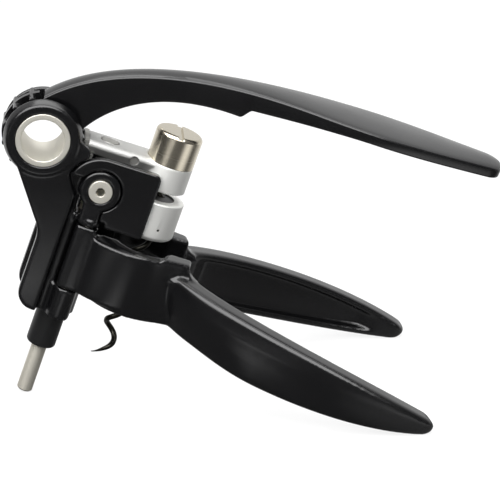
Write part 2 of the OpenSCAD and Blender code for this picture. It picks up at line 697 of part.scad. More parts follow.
// Carriage: the arm with its barrel, the rack behind it and the rod below it
arm_taper = 2.2;
module arm_section() {
    w = arm_half_w - arm_round;
    h = arm_t - arm_round;
    polygon(concat(arc([w, h], arm_round, 0, 90, 4), arc([-w, h], arm_round, 90, 180, 4),
        [[arm_taper - arm_half_w, 0], [arm_half_w - arm_taper, 0]]));
}
lock_place = [10.3, arm_z + 2.6];
lock_depth = 4;
lock_sink = 1.6;
module carriage_arm() stand() color(zinc) difference() {
    union() {
        translate([arm_tail, 0, arm_z]) rotate([90, 0, 90])
            linear_extrude(worm_ahead - arm_tail) arm_section();
        translate([worm_ahead, 0, barrel_z]) cylinder(d = barrel_d, h = barrel_len);
    }
    translate([worm_ahead, 0, cap_z]) cylinder(d = barrel_d + 2 * seat_fit, h = arm_t);
    translate([worm_ahead, 0, barrel_z + floor_t]) cylinder(d = worm_head_d + 2 * run_fit, h = barrel_len);
    translate([worm_ahead, 0, barrel_z - over]) cylinder(d = coil_d + 2 * free_gap, h = barrel_len);
    translate([0, 0, arm_z - over]) cylinder(d = rod_d + 2 * seat_fit, h = arm_t + 2 * over);
    translate([0, 0, arm_top - rod_head_h]) cylinder(d = rod_head_d + 2 * seat_fit, h = rod_head_h + over);
    cross_rod(lock_place, lock_pin_d / 2 + seat_fit, -arm_half_w - over, lock_depth - arm_half_w);
    rack_screw_bores(rack_screw_d + 2 * seat_fit, rack_head_back - over);
}
module lock_pin() stand() color(steel) {
    cross_rod(lock_place, lock_pin_d / 2, lock_sink - arm_half_w, lock_depth - arm_half_w);
}

// Two screws run forward through the rack's upper end into the arm
module rack_screw_bores(d, start) {
    for (s = [-1, 1])
        translate([start, s * arm_half_w / 2, rack_head_top - rack_screw_d / 2 - set_in])
            rotate([0, 90, 0]) cylinder(d = d, h = -start - rod_head_d / 2 - free_gap);
}
module rack_screws() stand() color(dark_steel) rack_screw_bores(rack_screw_d, rack_root);

rack_half = (rack_pitch - tooth_play) / 4;
rack_slope = tan(pressure_angle);
tooth_foot = rack_half + dedendum * rack_slope;
tooth_crest = rack_half - addendum * rack_slope;
rack_head_z = axle_z + tooth_foot;
rack_tooth = [[dedendum + weld, -tooth_foot], [-addendum, -tooth_crest],
    [-addendum, tooth_crest], [dedendum + weld, tooth_foot]];
module rack_bar() stand() color(steel) difference() {
    union() {
        plate(-gear_half_w, gear_half_w) difference() {
            polygon([[rack_root, rack_foot], [rack_front, rack_foot], [rack_front, arm_z],
                [rack_head_front, arm_z], [rack_head_front, rack_head_top], [rack_head_back, rack_head_top],
                [rack_head_back, rack_head_z], [rack_root, rack_head_z]]);
            translate(axle) circle(r = tip_r + free_gap);
        }
        pair() plate(web_t / 2 + free_gap, gear_half_w) for (i = [0:rack_teeth - 1])
            translate([rack_line, axle_z - i * rack_pitch]) polygon(rack_tooth);
    }
    rack_screw_bores(rack_screw_d + 2 * seat_fit, rack_head_back - over);
}

module guide_rod() stand() color(steel) {
    cylinder(r1 = foot_edge, r2 = rod_d / 2, h = rod_chamfer);
    translate([0, 0, rod_chamfer]) cylinder(d = rod_d, h = arm_top - rod_chamfer);
    translate([0, 0, arm_top - rod_head_h]) cylinder(d = rod_head_d, h = rod_head_h);
}

module worm_cap() stand() color(nickel) translate([worm_ahead, 0, cap_z]) difference() {
    union() {
        rotate_extrude() polygon(concat([[0, 0], [barrel_d / 2, 0]],
            arc([barrel_d / 2 - cap_round, cap_h - cap_round], cap_round, 0, 90, 6), [[0, cap_h]]));
        translate([0, 0, -spigot_h]) cylinder(d = worm_head_d, h = spigot_h + over);
    }
    translate([-slot_w / 2, -barrel_d, cap_h - slot_h]) cube([slot_w, 2 * barrel_d, slot_h + over]);
}

// Grip: knuckle, half collar with its lip stop, front ear and handle, swung open about the hinge
collar_drop = 1.2;
rim_drop = 1.3;
collar_top = knuckle_z + grip_h - collar_drop;
web_in = post_y - 3.3;
knuckle_face = post_y + knuckle_r - 0.2;
knuckle_half = 3.8;
knuckle_corner = 0.8;
web_face = knuckle_face - 0.2;
bow_r = 27;
bow_start = 70;
bow_centre = [worm_ahead - 4.5, collar_r + 0.8 - bow_r];
hollow_r = 4;
bow_end = 90 + acos((web_face + hollow_r - bow_centre[1]) / (bow_r + hollow_r));
ear_reach = worm_ahead + 19;
ear_r = 4;
ear_y = 9.2;
jaw_line = [[worm_ahead + 30, jaw_half_gap], [worm_ahead - 13, web_in], [-30, web_in], [-30, -40],
    [worm_ahead + 30, -40]];
module ear_plan() {
    polygon(concat([[worm_ahead + 10, jaw_half_gap - over], [ear_reach, jaw_half_gap - over]],
        arc([ear_reach - ear_r, ear_y], ear_r, 0, 80, 4), [[worm_ahead + 8, collar_r - 2.1]]));
}
module knuckle_plan() {
    translate(hinge) circle(r = knuckle_r);
    translate([hinge[0], 0]) polygon(concat([[knuckle_half, post_y], [knuckle_half, knuckle_face]],
        arc([knuckle_corner - knuckle_half, knuckle_face - knuckle_corner], knuckle_corner, 90, 180, 4),
        [[-knuckle_half, post_y]]));
}

// From the knuckle's flat face a hollow leads into the collar's bowed shoulder
module web_plan() {
    polygon(concat([[hinge[0], web_in + weld], [worm_ahead - 11, web_in + weld], [worm_ahead + 4, lip_r]],
        arc(bow_centre, bow_r, bow_start, bow_end, 12),
        arc(bow_centre + polar(bow_r + hollow_r, bow_end), hollow_r, bow_end - 180, -90, 6),
        [[hinge[0], web_face]]));
}

// Filler between the collar and the root of the handle, in front of the worm's axis
fillet_h = 19.2;
fillet_low = 1.5;
fillet_y = 15;
fillet_lean = atan(draft_root / fillet_h);
fillet_points = [[8, 11], [9.5, 15], [11.3, 14.6], [13.6, 14.6], [16.2, 15.6], [18.5, 17], [16, 11]];
module fillet() {
    translate([worm_ahead, fillet_y, collar_z + fillet_h]) rotate([-fillet_lean, 0, 0])
        translate([0, -fillet_y, fillet_low - fillet_h]) linear_extrude(fillet_h - fillet_low)
            polygon(fillet_points);
}
module layer(z0, z1) {
    translate([0, 0, z0]) linear_extrude(z1 - z0) children();
}
module half_collar() {
    difference() {
        union() {
            layer(collar_z, collar_top - rim_drop) translate([worm_ahead, 0]) circle(r = collar_r);
            layer(collar_z + set_in, collar_top) ear_plan();
        }
        layer(collar_z - over, collar_top + over) polygon(jaw_line);
    }
}
module grip() {
    below = 20;
    translate(hinge) rotate(grip_open) translate(-hinge) difference() {
        union() {
            half_collar();
            layer(knuckle_z + weld, collar_top - rim_drop - set_in) web_plan();
            fillet();
            layer(knuckle_z, knuckle_z + grip_h) knuckle_plan();
            skin(grip_skin);
        }
        translate([worm_ahead, 0, collar_z - below]) cylinder(r = neck_r, h = lip_depth + below);
        translate([worm_ahead, 0, collar_z]) cylinder(r = lip_r, h = collar_top - collar_z + over);
        post(hinge_d / 2 + run_fit, knuckle_z - over, knuckle_z + grip_h + over);
    }
}
module grip_left() stand() color(black_paint) grip();
module grip_right() stand() color(black_paint) mirror([0, 1, 0]) grip();

frame_body();
guide_sleeve();
axle_tube();
axle_ring();
hinge_pin_left();
hinge_pin_right();
nut_block();
nut_sleeve();
nut_insert();
nut_grub_screw();
stud_left();
stud_right();
lever_arm();
drive_pinion();
lever_keys();
carriage_arm();
rack_bar();
rack_screws();
guide_rod();
worm_cap();
thrust_washer();
lock_pin();
worm();
worm_head();
grip_left();
grip_right();
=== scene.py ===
# Lever corkscrew standing on its guide rod and grips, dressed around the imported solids.
import json
import math
import bmesh
import bpy
from mathutils import Matrix, Vector


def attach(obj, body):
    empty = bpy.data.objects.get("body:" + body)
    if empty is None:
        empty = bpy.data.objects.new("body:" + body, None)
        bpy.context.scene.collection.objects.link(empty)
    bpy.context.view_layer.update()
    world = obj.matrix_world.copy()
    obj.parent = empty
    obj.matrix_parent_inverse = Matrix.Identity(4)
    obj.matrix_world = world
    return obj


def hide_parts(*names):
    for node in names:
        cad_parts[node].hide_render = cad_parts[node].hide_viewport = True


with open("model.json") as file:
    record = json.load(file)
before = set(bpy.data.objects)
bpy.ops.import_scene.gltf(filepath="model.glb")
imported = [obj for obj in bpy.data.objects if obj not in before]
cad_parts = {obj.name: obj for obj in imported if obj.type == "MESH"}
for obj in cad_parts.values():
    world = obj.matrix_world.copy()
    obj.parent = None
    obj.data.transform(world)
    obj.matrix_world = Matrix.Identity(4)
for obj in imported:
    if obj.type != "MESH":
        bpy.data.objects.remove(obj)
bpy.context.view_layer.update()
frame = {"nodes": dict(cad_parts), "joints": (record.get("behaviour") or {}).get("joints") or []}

# Frame casting and nut block
# Two zinc die castings: the frame with its round-headed cheeks, column, foot flange, lugs and ears, and
# the block that hangs between the ears and holds the nut. Die fillets and baked enamel soften every edge.
MM = 0.001


def linear(colour):
    """An sRGB hex colour as linear red, green, blue and alpha."""
    channels = [int(colour[i:i + 2], 16) / 255 for i in (1, 3, 5)]
    return tuple(c / 12.92 if c <= 0.04045 else ((c + 0.055) / 1.055) ** 2.4 for c in channels) + (1,)


def add(tree, kind, settings=None, links=None):
    """Adds one node with its settings and the outputs that feed it."""
    node = tree.nodes.new(kind)
    for key, value in (settings or {}).items():
        if isinstance(key, int) or key in node.inputs:
            node.inputs[key].default_value = value
        else:
            setattr(node, key, value)
    for key, source in (links or {}).items():
        tree.links.new(source, node.inputs[key])
    return node


def begin_finish(name):
    """A new material with its shader and the piece's own coordinates."""
    finish = bpy.data.materials.new(name)
    finish.use_nodes = True
    tree = finish.node_tree
    shader = tree.nodes["Principled BSDF"]
    place = add(tree, "ShaderNodeTexCoord")
    return finish, tree, shader, place.outputs["Object"]


# Sprayed and baked black enamel: deep black with a clear sheen, faint orange peel and slightly uneven gloss
black_enamel, tree, shader, place = begin_finish("baked_black_enamel")
ORANGE_PEEL_MM = 2.5
ORANGE_PEEL_DEPTH_MM = 0.02
GLOSS_PATCH_MM = 16
shader.inputs["Base Color"].default_value = linear("#070708")
shader.inputs["IOR"].default_value = 1.5
gloss_patch = add(tree, "ShaderNodeTexNoise", {"Scale": 1 / (GLOSS_PATCH_MM * MM), "Detail": 3.0},
                  {"Vector": place})
gloss = add(tree, "ShaderNodeMapRange", {"From Min": 0.3, "From Max": 0.7, "To Min": 0.2, "To Max": 0.27},
            {"Value": gloss_patch.outputs["Fac"]})
tree.links.new(gloss.outputs["Result"], shader.inputs["Roughness"])
peel = add(tree, "ShaderNodeTexNoise", {"Scale": 1 / (ORANGE_PEEL_MM * MM), "Detail": 1.0},
           {"Vector": place})
peel_bump = add(tree, "ShaderNodeBump", {"Strength": 0.025, "Distance": ORANGE_PEEL_DEPTH_MM * MM},
                {"Height": peel.outputs["Fac"]})
tree.links.new(peel_bump.outputs["Normal"], shader.inputs["Normal"])


def paint(piece, finish):
    """Gives a piece one finish in all of its material slots."""
    if not piece.material_slots:
        piece.data.materials.append(finish)
    for slot in piece.material_slots:
        slot.material = finish


WELD_MM = 0.001


def cast_skin(piece, grain_mm, passes):
    """Rebuilds a piece as one fine even skin and relaxes its edges, as a die casting's fillets do."""
    weld = piece.modifiers.new("weld", "WELD")
    weld.merge_threshold = WELD_MM * MM
    skin = piece.modifiers.new("skin", "REMESH")
    skin.mode = "VOXEL"
    skin.voxel_size = grain_mm * MM
    skin.use_smooth_shade = True
    relax = piece.modifiers.new("relax", "SMOOTH")
    relax.factor = 0.5
    relax.iterations = passes


FRAME_GRAIN_MM = 0.45
FRAME_PASSES = 16
BLOCK_GRAIN_MM = 0.35
BLOCK_PASSES = 20
frame_body = frame["nodes"]["frame_body"]
cast_skin(frame_body, FRAME_GRAIN_MM, FRAME_PASSES)
paint(frame_body, black_enamel)
nut_block = frame["nodes"]["nut_block"]
cast_skin(nut_block, BLOCK_GRAIN_MM, BLOCK_PASSES)
paint(nut_block, black_enamel)

# Guide sleeve
# A plain plastic bush, injection moulded in black nylon and pressed into the frame's foot.
# The guide rod slides in it, and its lower edge is well rounded.

# New pieces are drawn upright in millimetres, with the guide rod along z and its foot at zero;
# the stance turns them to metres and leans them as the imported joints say
AXLE = Vector((-25.2, 0, 101.5))
joints = {joint["name"]: joint for joint in frame["joints"]}
up_the_rod = Vector(joints["carriage_slide"]["axis"])
lean = math.atan2(up_the_rod.x, up_the_rod.z)
turn = Matrix.Rotation(lean, 4, "Y")
foot = Vector(joints["lever_hinge"]["pos_m"]) - turn @ (AXLE * MM)
STANCE = Matrix.Translation(foot) @ turn @ Matrix.Scale(MM, 4)


def turned(profile, steps=96):
    """A bmesh turned about z from a profile of radius and height."""
    shape = bmesh.new()
    points = [shape.verts.new((r, 0, z)) for r, z in profile]
    lines = [shape.edges.new(pair) for pair in zip(points, points[1:])]
    bmesh.ops.spin(shape, geom=points + lines, cent=(0, 0, 0), axis=(0, 0, 1), angle=2 * math.pi,
                   steps=steps, use_merge=True)
    bmesh.ops.remove_doubles(shape, verts=shape.verts, dist=WELD_MM)
    bmesh.ops.recalc_face_normals(shape, faces=shape.faces)
    return shape


def arc(centre, r, first, last, steps=6):
    """Points of a round stretch, from one angle to another in degrees."""
    angles = [math.radians(first + (last - first) * i / steps) for i in range(steps + 1)]
    return [(centre[0] + r * math.cos(a), centre[1] + r * math.sin(a)) for a in angles]


def stand(name, shape, finish, body, node, smooth_deg=40):
    """Stands a finished bmesh in the tool's place as a piece that rides on a body in place of a CAD node."""
    bmesh.ops.transform(shape, matrix=STANCE, verts=shape.verts)
    mesh = bpy.data.meshes.new(name)
    shape.to_mesh(mesh)
    shape.free()
    mesh.shade_smooth()
    mesh.set_sharp_from_angle(angle=math.radians(smooth_deg))
    piece = bpy.data.objects.new(name, mesh)
    bpy.context.scene.collection.objects.link(piece)
    paint(piece, finish)
    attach(piece, body)
    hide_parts(node)
    return piece


# Moulded black nylon: a soft matt sheen with a fine even grain from the mould
black_nylon, tree, shader, place = begin_finish("moulded_black_nylon")
MOULD_GRAIN_MM = 0.5
MOULD_GRAIN_DEPTH_MM = 0.03
shader.inputs["Base Color"].default_value = linear("#0c0c0d")
shader.inputs["Roughness"].default_value = 0.42
grain = add(tree, "ShaderNodeTexNoise", {"Scale": 1 / (MOULD_GRAIN_MM * MM), "Detail": 2.0},
            {"Vector": place})
grain_bump = add(tree, "ShaderNodeBump", {"Strength": 0.15, "Distance": MOULD_GRAIN_DEPTH_MM * MM},
                 {"Height": grain.outputs["Fac"]})
tree.links.new(grain_bump.outputs["Normal"], shader.inputs["Normal"])

ROD_R = 3.0
SLIDE_GAP = 0.1
FRAME_Z = 36.0
SLEEVE_R = 5.7
SLEEVE_DROP = 16
SLEEVE_SEAT = 8
SLEEVE_ROUND = 1.5
BORE_CHAMFER = 0.3
sleeve_bore = ROD_R + SLIDE_GAP
sleeve_foot = FRAME_Z - SLEEVE_DROP
sleeve_head = FRAME_Z + SLEEVE_SEAT
sleeve_profile = [(sleeve_bore, sleeve_head), (sleeve_bore, sleeve_foot + BORE_CHAMFER),
                  (sleeve_bore + BORE_CHAMFER, sleeve_foot)]
sleeve_profile += arc((SLEEVE_R - SLEEVE_ROUND, sleeve_foot + SLEEVE_ROUND), SLEEVE_ROUND, 270, 360)
sleeve_profile += [(SLEEVE_R, sleeve_head), (sleeve_bore, sleeve_head)]
stand("guide_bush", turned(sleeve_profile), black_nylon, "frame", "guide_sleeve")


# Hollow axle, studs and washer
# The lever turns on a hollow axle with a flange on one end and a ring pressed on the other; two hollow studs
# carry the nut block on the ears, and a washer lies under the cap. All are turned and satin nickel plated.
def soft_shading():
    """A node group that shades a piece smooth after its edges are broken."""
    group = bpy.data.node_groups.new("soft_shading", "GeometryNodeTree")
    group.interface.new_socket("Geometry", in_out="INPUT", socket_type="NodeSocketGeometry")
    group.interface.new_socket("Geometry", in_out="OUTPUT", socket_type="NodeSocketGeometry")
    entry = add(group, "NodeGroupInput")
    smooth = add(group, "GeometryNodeSetShadeSmooth", {}, {"Geometry": entry.outputs["Geometry"]})
    add(group, "NodeGroupOutput", {}, {"Geometry": smooth.outputs["Geometry"]})
    return group


SOFT_SHADING = soft_shading()
SHARP_EDGE = math.radians(35)


def break_edges(piece, width_mm, finish):
    """Welds a CAD piece, breaks its sharp edges as a tumbled part's are, and gives it a finish."""
    weld = piece.modifiers.new("weld", "WELD")
    weld.merge_threshold = WELD_MM * MM
    edge = piece.modifiers.new("edge", "BEVEL")
    edge.width = width_mm * MM
    edge.segments = 2
    edge.limit_method = "ANGLE"
    edge.angle_limit = SHARP_EDGE
    shade = piece.modifiers.new("shade", "NODES")
    shade.node_group = SOFT_SHADING
    even = piece.modifiers.new("even", "WEIGHTED_NORMAL")
    even.weight = 80
    paint(piece, finish)


# Satin nickel plate on turned steel: pale warm silver, soft reflections with fine turning marks
satin_nickel, tree, shader, place = begin_finish("satin_nickel_plate")
TURNING_MARK_MM = 0.6
shader.inputs["Metallic"].default_value = 1.0
shader.inputs["Base Color"].default_value = linear("#dcd9cf")
marks = add(tree, "ShaderNodeTexNoise", {"Scale": 1 / (TURNING_MARK_MM * MM), "Detail": 2.0},
            {"Vector": place})
satin = add(tree, "ShaderNodeMapRange", {"To Min": 0.48, "To Max": 0.6}, {"Value": marks.outputs["Fac"]})
tree.links.new(satin.outputs["Result"], shader.inputs["Roughness"])

TURNED_EDGE_MM = 0.25
for name in ("axle_tube", "axle_ring", "stud_left", "stud_right", "thrust_washer"):
    break_edges(frame["nodes"][name], TURNED_EDGE_MM, satin_nickel)


# Guide rod, pins, keys and rack
# Drawn stainless bar: the rod with its riveted head, the pins that the grips turn on, the pin in the arm's
# side, the round keys that hold the lever on its pinion, the worm's head, and the milled rack.
def upright_place(point):
    """A point of the tool in metres, turned upright as the patterns of leaning pieces are."""
    return Matrix.Rotation(-lean, 3, "Y") @ (STANCE @ Vector(point))


# Drawn stainless steel: bright with fine lines along the bar, and a darker grey from 88 mm up the tool
stainless_steel, tree, shader, place = begin_finish("drawn_stainless_steel")
DRAW_LINE_MM = 0.35
HEIGHT_SHARE = 0.03
DARKER_FROM = 88
DARKER_TO = 92
shader.inputs["Metallic"].default_value = 1.0
upright = add(tree, "ShaderNodeMapping", {"Rotation": (0, -lean, 0)}, {"Vector": place})
height = add(tree, "ShaderNodeSeparateXYZ", {}, {"Vector": upright.outputs["Vector"]})
# The base colour turns a darker grey between 88 and 92 mm up the tool
darker_above = add(tree, "ShaderNodeMapRange",
           {"From Min": upright_place((0, 0, DARKER_FROM)).z, "From Max": upright_place((0, 0, DARKER_TO)).z},
           {"Value": height.outputs["Z"]})
steel_tone = add(tree, "ShaderNodeMix", {"data_type": "RGBA", 6: linear("#eeeade"), 7: linear("#9b9a96")},
                 {0: darker_above.outputs["Result"]})
tree.links.new(steel_tone.outputs[2], shader.inputs["Base Color"])
# Noise that is read with its height squashed is drawn out into lines along the bar
stretched = add(tree, "ShaderNodeMapping", {"Scale": (1, 1, HEIGHT_SHARE)},
                {"Vector": upright.outputs["Vector"]})
lines = add(tree, "ShaderNodeTexNoise", {"Scale": 1 / (DRAW_LINE_MM * MM), "Detail": 2.0},
            {"Vector": stretched.outputs["Vector"]})
drawn = add(tree, "ShaderNodeMapRange", {"To Min": 0.5, "To Max": 0.62}, {"Value": lines.outputs["Fac"]})
tree.links.new(drawn.outputs["Result"], shader.inputs["Roughness"])

ARM_TOP = 105.9
ROD_HEAD_R = 3.45
ROD_HEAD_H = 1.4
ROD_HEAD_CHAMFER = 0.3
ROD_CHAMFER = 0.6
rod_shoulder = ARM_TOP - ROD_HEAD_H
rod_profile = [(0, 0), (ROD_R - ROD_CHAMFER, 0), (ROD_R, ROD_CHAMFER), (ROD_R, rod_shoulder),
               (ROD_HEAD_R, rod_shoulder), (ROD_HEAD_R, ARM_TOP - ROD_HEAD_CHAMFER),
               (ROD_HEAD_R - ROD_HEAD_CHAMFER, ARM_TOP), (0, ARM_TOP)]
stand("guide_bar", turned(rod_profile, steps=64), stainless_steel, "carriage", "guide_rod",
      smooth_deg=30)
BAR_EDGE_MM = 0.2
for name in ("hinge_pin_left", "hinge_pin_right", "lever_keys", "rack_bar", "worm_head", "lock_pin"):
    break_edges(frame["nodes"][name], BAR_EDGE_MM, stainless_steel)

# Nut and carriage arm
# The nut's body and the arm with its barrel are zinc castings, bead blasted and satin plated.
# The nut is held in the block; the arm carries the worm and slides with the rod.

# Bead blasted zinc: a pale clouded satin with a fine grain; painted shade darkens it behind the barrel, on
# the arm's web
satin_zinc, tree, shader, place = begin_finish("bead_blasted_zinc")
BLAST_GRAIN_MM = 0.45
BLAST_DEPTH_MM = 0.02
CLOUD_MM = 9
WEB_END = 14
BARREL_START = 20
shader.inputs["Metallic"].default_value = 1.0
upright = add(tree, "ShaderNodeMapping", {"Rotation": (0, -lean, 0)}, {"Vector": place})
ahead = add(tree, "ShaderNodeSeparateXYZ", {}, {"Vector": upright.outputs["Vector"]})
# Painted shade: the base colour darkens from the barrel back onto the arm's web
web_shade_mask = add(tree, "ShaderNodeMapRange",
             {"From Min": upright_place((WEB_END, 0, 0)).x,
              "From Max": upright_place((BARREL_START, 0, 0)).x},
             {"Value": ahead.outputs["X"]})
zinc_tone_with_painted_web_shade = add(tree, "ShaderNodeMix", {"data_type": "RGBA", 6: linear("#b2b2b0"), 7: linear("#ecece9")},
                {0: web_shade_mask.outputs["Result"]})
tree.links.new(zinc_tone_with_painted_web_shade.outputs[2], shader.inputs["Base Color"])
cloud = add(tree, "ShaderNodeTexNoise", {"Scale": 1 / (CLOUD_MM * MM), "Detail": 3.0}, {"Vector": place})
blasted = add(tree, "ShaderNodeMapRange", {"To Min": 0.58, "To Max": 0.68}, {"Value": cloud.outputs["Fac"]})
tree.links.new(blasted.outputs["Result"], shader.inputs["Roughness"])
blast = add(tree, "ShaderNodeTexNoise", {"Scale": 1 / (BLAST_GRAIN_MM * MM), "Detail": 2.0},
            {"Vector": place})
blast_bump = add(tree, "ShaderNodeBump", {"Strength": 0.2, "Distance": BLAST_DEPTH_MM * MM},
                 {"Height": blast.outputs["Fac"]})
tree.links.new(blast_bump.outputs["Normal"], shader.inputs["Normal"])

NUT_EDGE_MM = 0.3
ARM_GRAIN_MM = 0.28
ARM_PASSES = 6
break_edges(frame["nodes"]["nut_sleeve"], NUT_EDGE_MM, satin_zinc)
carriage_arm = frame["nodes"]["carriage_arm"]
cast_skin(carriage_arm, ARM_GRAIN_MM, ARM_PASSES)
paint(carriage_arm, satin_zinc)

# Threaded insert and small screws
# The moulded insert that guides the worm sits inside the nut, locked by a grub screw; two screws hold the
# rack on the arm. The screws are blackened steel.

# Blackened steel: nearly black with a low oily shine, uneven from place to place
dark_steel, tree, shader, place = begin_finish("blackened_steel")
OXIDE_PATCH_MM = 3
shader.inputs["Metallic"].default_value = 1.0
shader.inputs["Base Color"].default_value = linear("#3a3934")
oxide = add(tree, "ShaderNodeTexNoise", {"Scale": 1 / (OXIDE_PATCH_MM * MM), "Detail": 3.0},
            {"Vector": place})
oiled = add(tree, "ShaderNodeMapRange", {"To Min": 0.22, "To Max": 0.42}, {"Value": oxide.outputs["Fac"]})
tree.links.new(oiled.outputs["Result"], shader.inputs["Roughness"])

SCREW_EDGE_MM = 0.1
paint(frame["nodes"]["nut_insert"], black_nylon)
for name in ("nut_grub_screw", "rack_screws"):
    break_edges(frame["nodes"][name], SCREW_EDGE_MM, dark_steel)

# Pinion
# The gear on the hollow axle has two rows of teeth with a web between them and carries the lever.
# It is cast with the same black enamel, worn to a softer edge on the teeth.
TOOTH_EDGE_MM = 0.35
break_edges(frame["nodes"]["drive_pinion"], TOOTH_EDGE_MM, black_enamel)


# Lever
# A long zinc casting that rises from the pinion, bows over the tool and widens to a thin paddle with a
# rounded end. A step under the arm stops the fingers, the top is slightly crowned, and it is enamelled.
def bezier(points, t):
    """A point of a cubic curve at a share of its length."""
    a, b, c, d = (Vector(p) for p in points)
    return a * (1 - t) ** 3 + b * (3 * t * (1 - t) ** 2) + c * (3 * t * t * (1 - t)) + d * t ** 3


HALVINGS = 30


def height_at(points, x):
    """The height of a cubic curve that runs forward, at a distance along it."""
    low, high = 0.0, 1.0
    for _ in range(HALVINGS):
        middle = (low + high) / 2
        if bezier(points, middle).x < x:
            low = middle
        else:
            high = middle
    return bezier(points, low).y


def ease(t):
    """A smooth step from 0 to 1."""
    t = min(1, max(0, t))
    return t * t * (3 - 2 * t)


LEVER_START = -4.1
LEVER_RISE = 43.2
LEVER_REACH = 168.6
CREST = 95
STEP = 67
STEP_RUN = 4
FINGER_STEP = 3.4
FLARE_START = 15
WIDEST = 121
ROOT_HALF_W = 5.2
PADDLE_HALF_W = 16.7
PADDLE_T = 5.2
NECK_EXTRA = 2.8
NECK_RUN = 50
TIP_HALF_W = 9.6
TIP_ROUND = 5
TIP_NARROW = 4
TIP_THIN = 0.6
CROWN = 1.0
CROWN_STEPS = 6
CROWN_EDGE_DEG = 78
LEVER_EDGE_R = 0.9
LEVER_DRAFT = 0.3
EDGE_STEPS = 4
UNDER_STEPS = 4
GEAR_TIP_R = 15.54
GEAR_ROOT_R = 11.03
UNDER_START = 12.6
UNDER_LOW = 5.0
# Each outline is a cubic curve: its start, the two points that pull it, and its end
lever_top_curve = [(LEVER_START, math.sqrt(GEAR_TIP_R ** 2 - LEVER_START ** 2)), (15, LEVER_RISE - 7.2),
                   (54, LEVER_RISE), (CREST, LEVER_RISE)]
lever_flare = [(FLARE_START, ROOT_HALF_W), (75, ROOT_HALF_W + 0.2), (92, PADDLE_HALF_W),
               (WIDEST, PADDLE_HALF_W)]
lever_taper = [(WIDEST, PADDLE_HALF_W), (135, PADDLE_HALF_W), (LEVER_REACH - 19, TIP_HALF_W + 3.8),
               (LEVER_REACH, TIP_HALF_W - 0.6)]


def lever_top(x):
    """The height of the lever's top above the axle."""
    return height_at(lever_top_curve, x) if x < CREST else LEVER_RISE


def lever_thin(x):
    """The thickness of the lever ahead of the finger step."""
    return PADDLE_T + NECK_EXTRA * (1 - ease((x - STEP) / NECK_RUN))


arm_under = lever_top(STEP) - lever_thin(STEP) - FINGER_STEP
lever_under_curve = [(UNDER_START, UNDER_LOW), (20.5, 19.5), (38, arm_under + 0.3), (STEP, arm_under)]


def lever_under(x):
    """The height of the lever's underside: round the gear, up the arm, and over the finger step."""
    if x < UNDER_START:
        return max(UNDER_LOW, math.sqrt(max(0, GEAR_ROOT_R ** 2 - x * x)))
    if x < STEP:
        return height_at(lever_under_curve, x)
    step = ease((x - STEP) / STEP_RUN)
    return (1 - step) * arm_under + step * (lever_top(x) - lever_thin(x))


def tip_ease(x):
    """1 along the lever, falling on a round to 0 at its tip."""
    share = max(0, (x - LEVER_REACH + TIP_ROUND) / TIP_ROUND)
    return math.sqrt(max(0, 1 - share * share))


def lever_half_w(x):
    """Half of the lever's width: the root, the flare to the paddle, and the taper to the tip."""
    if x < FLARE_START:
        return ROOT_HALF_W
    if x < WIDEST:
        return height_at(lever_flare, x)
    return height_at(lever_taper, x) - TIP_NARROW * (1 - tip_ease(x))


def lever_section(x):
    """The lever's section at a distance from the axle: crowned top, rounded edges, sides with draft."""
    half_w = lever_half_w(x)
    thin = TIP_THIN * (1 - tip_ease(x))
    top = lever_top(x) - thin
    under = lever_under(x) + thin
    edge_r = min(LEVER_EDGE_R, (top - under) / 3)
    foot_w = half_w - LEVER_DRAFT
    side = [(half_w * s / CROWN_STEPS, top - CROWN * (s / CROWN_STEPS) ** 2) for s in range(CROWN_STEPS)]
    side += arc((half_w - edge_r, top - CROWN - edge_r), edge_r, CROWN_EDGE_DEG, 0, EDGE_STEPS)
    side += arc((foot_w - edge_r, under + edge_r), edge_r, 0, -90, EDGE_STEPS)
    side += [((foot_w - edge_r) * s / UNDER_STEPS, under) for s in reversed(range(UNDER_STEPS))]
    other = [(-y, z) for y, z in reversed(side[1:-1])]
    return [AXLE + Vector((x, y, z)) for y, z in side + other]


def loft(shape, sections):
    """Joins a row of closed sections with strips of faces and closes both ends."""
    loops = []
    for section in sections:
        points = [shape.verts.new(p) for p in section]
        loops.append([shape.edges.new((points[i - 1], points[i])) for i in range(len(points))])
    for near, far in zip(loops, loops[1:]):
        bmesh.ops.bridge_loops(shape, edges=near + far)
    bmesh.ops.holes_fill(shape, edges=loops[0] + loops[-1])
    bmesh.ops.recalc_face_normals(shape, faces=shape.faces)
    return shape


ROOT_CUTS = 14
RISE_CUTS = 36
RISE_CROWDING = 1.3
STEP_CUTS = 8
PADDLE_CUTS = 48
TIP_CUT_DEG = 6
rise_run = STEP - UNDER_START
paddle_start = STEP + STEP_RUN
paddle_run = LEVER_REACH - TIP_ROUND - paddle_start
lever_cuts = [LEVER_START + (UNDER_START - LEVER_START) * i / ROOT_CUTS for i in range(ROOT_CUTS)]
lever_cuts += [UNDER_START + rise_run * (i / RISE_CUTS) ** RISE_CROWDING for i in range(RISE_CUTS)]
lever_cuts += [STEP + STEP_RUN * i / STEP_CUTS for i in range(STEP_CUTS)]
lever_cuts += [paddle_start + paddle_run * i / PADDLE_CUTS for i in range(PADDLE_CUTS)]
lever_cuts += [LEVER_REACH - TIP_ROUND * (1 - math.sin(math.radians(a))) for a in range(0, 90, TIP_CUT_DEG)]
lever = loft(bmesh.new(), [lever_section(x) for x in lever_cuts])
stand("lever_handle", lever, black_enamel, "lever", "lever_arm", smooth_deg=30)

# Worm
# A wire wound to a right-handed helix, drawn out to a sharp point that flares a little, with a dark coating.
# Its head turns in the arm's barrel under the cap.
WORM_AHEAD = 24.0
WIRE_R = 1.1
COIL_R = 2.6
WORM_PITCH = 14.4
WORM_TIP = 22.9
WORM_TOP = 97.2
TIP_LEN = 6.0
TIP_FLARE = 1.5
FLARE_TURNS = 0.25
POINT_SHARE = 0.3
WIRE_SIDES = 16
WIRE_STEPS = 36


